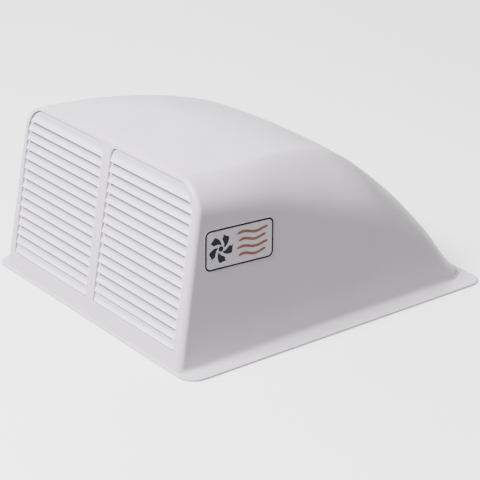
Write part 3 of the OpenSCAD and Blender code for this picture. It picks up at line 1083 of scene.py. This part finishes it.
def make_screen_screws(side, name):
    solid = Solid()
    for s in INNER_SCREWS_S:
        add_screw(solid, side, SCREEN_IN + FRAME_W / 2, s)
    for s in OUTER_SCREWS_S:
        add_screw(solid, side, SCREEN_OUT - FRAME_W / 2, s)
    piece = solid.build(f"rim_screws_{name}", [ZINC], smooth_angle=30)
    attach(piece, f"hatch_{name}")
    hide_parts(f"screen_screws_{name}")


# ---- Bolts and brackets ----

BOLT_Z = 14.0
BOLT_R = 3.1
PIVOT_Y = REAR_Y + 24
CATCH_Y = REAR_Y + 414
COLLAR_HALF = 184.0
PLATE_T = 2.5
PLATE_OUT = COLLAR_HALF + PLATE_T
# From a bolt's end to the wall's inside at its foot
BOLT_GAP = 6
BOLT_END = BASE_HALF - WALL_T - BOLT_GAP
# The head's seat is inside the collar's face by a small gap and the washer
HEAD_GAP = 0.1
WASHER_T = 1.2
HEAD_UNDER = COLLAR_HALF - HEAD_GAP - WASHER_T
HEAD_T = 4.5
HEAD_R = 6.4
BOLT_STEPS = 48
# The head's corners are cut back to these shares of its radius and of its half width across the flats
CORNER_CUT = 0.985
TOP_CUT = 0.93
SEAT_CUT = 0.96
TOP_CHAMFER = 0.5
SEAT_CHAMFER = 0.3
THREAD_START = PLATE_OUT + 0.6
THREAD_PITCH = 1.0
THREAD_DEPTH = 0.35
# Where the bottom of a thread begins and ends, as shares of the pitch
THREAD_BOTTOM = (0.4, 0.6)
# The tip's chamfer as (distance from the bolt's end, cut from its radius), and the unthreaded tip
TIP = ((0.6, 0.15), (0, 0.8))
TIP_LENGTH = 1
BRACKET_H = 28.0
BRACKET_EDGE = 0.4
REAR_SCREW_Y = PIVOT_Y + 72
FRONT_SCREW_Y = CATCH_Y - 52
BRACKET_TAIL = 30.0
SCREW_SPACING = 35.0
SCREW_HOLE_R = 2.25
BUSHING_SEAT_R = BOLT_R + 0.9
SLOT_PLAY = 0.5
LINER_T = 1.0
SLOT_SEAT_R = BOLT_R + SLOT_PLAY + LINER_T
SLOT_STEPS = 18
STADIUM_ARC_STEPS = 16
HOLE_STEPS = 40


def bolt_levels(flat):
    """Places along a bolt from its head to its tip, each with the radius it is cut to there."""
    corner = HEAD_R * CORNER_CUT
    top = HEAD_UNDER - HEAD_T
    levels = [(top, flat * TOP_CUT), (top + TOP_CHAMFER, corner)]
    levels += [(HEAD_UNDER - SEAT_CHAMFER, corner), (HEAD_UNDER, flat * SEAT_CUT)]
    levels += [(HEAD_UNDER, BOLT_R), (THREAD_START, BOLT_R)]
    for k in range(int((BOLT_END - TIP_LENGTH - THREAD_START) / THREAD_PITCH)):
        x = THREAD_START + k * THREAD_PITCH
        levels += [(x + share * THREAD_PITCH, BOLT_R - THREAD_DEPTH) for share in THREAD_BOTTOM]
        levels.append((x + THREAD_PITCH, BOLT_R))
    return levels + [(BOLT_END - back, BOLT_R - cut) for back, cut in TIP]


def add_bolt(solid, side, y):
    """A hexagon bolt along X: chamfered head, plain shank, then threads up to its chamfered tip."""
    flat = HEAD_R * math.cos(math.radians(30))
    rows = []
    for x, limit in bolt_levels(flat):
        row = []
        for a in turns(BOLT_STEPS):
            hexagon = flat / math.cos(a % math.radians(60) - math.radians(30))
            r = min(hexagon, limit)
            row.append((side * x, y + r * math.sin(a), BOLT_Z + r * math.cos(a)))
        rows.append(solid.add(row))
    solid.strips(rows)
    solid.face(*rows[0])
    solid.face(*rows[-1])


def make_bolts(name, y):
    solid = Solid()
    for side in (-1, 1):
        add_bolt(solid, side, y)
    piece = solid.build(f"{name}_pair", [ZINC])
    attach(piece, "hood")
    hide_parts(name)


def circle_outline(y, r):
    """A round hole at bolt height. Growing the plate makes it smaller."""
    def outline(grow):
        return [polar(y, BOLT_Z, r - grow, a) for a in turns(HOLE_STEPS)]
    return outline


def stadium(y_low, y_high, grow):
    """A bracket's outline with round ends, centred at y_low and y_high."""
    return rounded_loop(y_low - BOLT_Z, 0, y_high + BOLT_Z, BRACKET_H, [BOLT_Z] * 4, grow, STADIUM_ARC_STEPS)


def rear_outline(grow):
    return stadium(PIVOT_Y, REAR_SCREW_Y + BRACKET_TAIL, grow)


def front_outline(grow):
    """The front bracket's outline, with a slot down to the catch bolt from its top edge."""
    ends = (FRONT_SCREW_Y - BRACKET_TAIL, CATCH_Y)
    mouth = SLOT_SEAT_R + 0.9
    plain = stadium(*ends, 0)
    cut = [i for i, (y, z) in enumerate(plain) if z > BOLT_Z and abs(y - CATCH_Y) < mouth]
    r = SLOT_SEAT_R - grow
    right_top = BOLT_Z + math.sqrt((BOLT_Z + grow) ** 2 - r * r)
    slot = [(CATCH_Y + r, right_top)]
    for k in range(SLOT_STEPS + 1):
        slot.append(polar(CATCH_Y, BOLT_Z, r, -math.pi * k / SLOT_STEPS))
    slot.append((CATCH_Y - r, BRACKET_H + grow))
    loop = stadium(*ends, grow)
    return loop[:cut[0]] + slot + loop[cut[-1] + 1:]


def make_bracket(name, side, side_name, outline, holes):
    """A flat steel plate with eased edges and drilled holes."""
    solid = Solid()
    levels = [
        (COLLAR_HALF, -BRACKET_EDGE), (COLLAR_HALF + BRACKET_EDGE, 0),
        (PLATE_OUT - BRACKET_EDGE, 0), (PLATE_OUT, -BRACKET_EDGE),
    ]
    loops = []
    for shape in [outline] + holes:
        rows = []
        for x, grow in levels:
            points = shape(grow if shape is outline else grow / 2)
            rows.append((solid.add([(side * x, y, z) for y, z in points]), points))
        solid.strips([row for row, points in rows])
        loops.append(rows)
    for end in (0, -1):
        solid.flat(loops[0][end], [rows[end] for rows in loops[1:]])
    piece = solid.build(f"{name}_plate_{side_name}", [SHEET_STEEL])
    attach(piece, "vent_brackets")
    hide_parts(f"{name}_{side_name}")


def screw_hole_pair(y):
    return [circle_outline(y + k * SCREW_SPACING, SCREW_HOLE_R) for k in (-0.5, 0.5)]


CAD_LOOKS = {
    INNER_WHITE: [
        "pivot_block_left", "pivot_block_right", "catch_block_left", "catch_block_right", "hatch_bearings",
    ],
    ZINC: ["pivot_washers", "catch_washers"],
    STAINLESS: ["hatch_rod_left", "hatch_rod_right"],
    NYLON: ["pivot_bushings", "slot_liners"],
    STOP_RUBBER: ["hatch_stops"],
}


def finish_cad_nodes():
    """Gives the nodes that keep their CAD mesh their materials."""
    for material, names in CAD_LOOKS.items():
        for name in names:
            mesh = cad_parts[name].data
            mesh.materials.clear()
            mesh.materials.append(material)


# ---- Stage: floor, light and camera ----

def flat_material(name, colour, roughness):
    material, shader = new_material(name)
    shader.inputs["Base Color"].default_value = (*colour, 1)
    shader.inputs["Roughness"].default_value = roughness
    return material


FLOOR_HALF = 12.0
# Just under the flange, so that the two never lie in one plane
FLOOR_Z = -0.0004


def make_floor():
    """A pale floor that glows a little. It shows in reflections but casts no diffuse light on the cover."""
    corners = [(x * FLOOR_HALF, y * FLOOR_HALF, 0) for x, y in ((-1, -1), (1, -1), (1, 1), (-1, 1))]
    mesh = bpy.data.meshes.new("floor")
    mesh.from_pydata(corners, [], [(0, 1, 2, 3)])
    white = flat_material("floor_white", (0.93, 0.93, 0.93), 0.8)
    mesh.materials.append(white)
    glow = next(n for n in white.node_tree.nodes if n.type == "BSDF_PRINCIPLED")
    glow.inputs["Emission Color"].default_value = (1, 1, 1, 1)
    glow.inputs["Emission Strength"].default_value = 0.8
    floor = bpy.data.objects.new("floor", mesh)
    floor.location.z = FLOOR_Z
    floor.visible_diffuse = False
    bpy.context.scene.collection.objects.link(floor)


def area_light(name, place, aim, size, power, colour=(1, 1, 1)):
    light = bpy.data.lights.new(name, "AREA")
    light.shape = "RECTANGLE"
    light.size, light.size_y = size
    light.energy = power
    light.color = colour
    obj = bpy.data.objects.new(name, light)
    obj.location = place
    direction = Vector(aim) - Vector(place)
    obj.rotation_euler = direction.to_track_quat("-Z", "Y").to_euler()
    bpy.context.scene.collection.objects.link(obj)


def make_lights():
    area_light("key", (0.1, -2.1, 2.3), (0, -0.1, 0.1), (1.0, 1.0), 300, (0.97, 0.955, 1.0))
    area_light("top", (0.15, -0.25, 2.7), (0, 0, 0.1), (1.3, 1.3), 36)
    area_light("back", (-2.2, 1.3, 1.1), (0, 0, 0.15), (2.2, 1.0), 30)
    world = bpy.data.worlds.new("studio")
    bpy.context.scene.world = world
    world.use_nodes = True
    background = world.node_tree.nodes["Background"]
    background.inputs["Color"].default_value = (1.0, 0.965, 0.975, 1)
    background.inputs["Strength"].default_value = 0.4


# Fitted to the photo's flange, wall edges and slits
CAMERA_AZIMUTH = math.radians(53.64)
CAMERA_ELEVATION = math.radians(23.33)
CAMERA_ROLL = math.radians(-0.65)
CAMERA_DISTANCE = 2.321
CAMERA_TARGET = (0.104, -0.0697, 0.1)
CAMERA_LENS = 135.26
SENSOR_WIDTH = 36


def make_camera():
    """Looks at the target from an azimuth, elevation and distance, rolled about its own axis."""
    level = math.cos(CAMERA_ELEVATION)
    back = Vector((
        math.sin(CAMERA_AZIMUTH) * level,
        -math.cos(CAMERA_AZIMUTH) * level,
        math.sin(CAMERA_ELEVATION),
    ))
    right = Vector((math.cos(CAMERA_AZIMUTH), math.sin(CAMERA_AZIMUTH), 0))
    up = back.cross(right)
    rolled_right = right * math.cos(CAMERA_ROLL) + up * math.sin(CAMERA_ROLL)
    rolled_up = up * math.cos(CAMERA_ROLL) - right * math.sin(CAMERA_ROLL)
    place = Vector(CAMERA_TARGET) + back * CAMERA_DISTANCE
    data = bpy.data.cameras.new("camera")
    data.sensor_width = SENSOR_WIDTH
    data.lens = CAMERA_LENS
    data.clip_end = 50
    camera = bpy.data.objects.new("camera", data)
    axes = Matrix((rolled_right, rolled_up, back)).transposed()
    camera.matrix_world = Matrix.Translation(place) @ axes.to_4x4()
    bpy.context.scene.collection.objects.link(camera)
    bpy.context.scene.camera = camera


# ---- Everything is made here ----

make_hood()
make_label()
for hatch_side, hatch_name in ((-1, "left"), (1, "right")):
    make_louvre_panel(hatch_side, hatch_name)
    make_screen_frame(hatch_side, hatch_name)
    make_screen(hatch_side, hatch_name)
    make_screen_screws(hatch_side, hatch_name)
    rear_holes = [circle_outline(PIVOT_Y, BUSHING_SEAT_R)] + screw_hole_pair(REAR_SCREW_Y)
    make_bracket("bracket_rear", hatch_side, hatch_name, rear_outline, rear_holes)
    make_bracket("bracket_front", hatch_side, hatch_name, front_outline, screw_hole_pair(FRONT_SCREW_Y))
make_bolts("pivot_bolts", PIVOT_Y)
make_bolts("catch_bolts", CATCH_Y)
finish_cad_nodes()
make_floor()
make_lights()
make_camera()
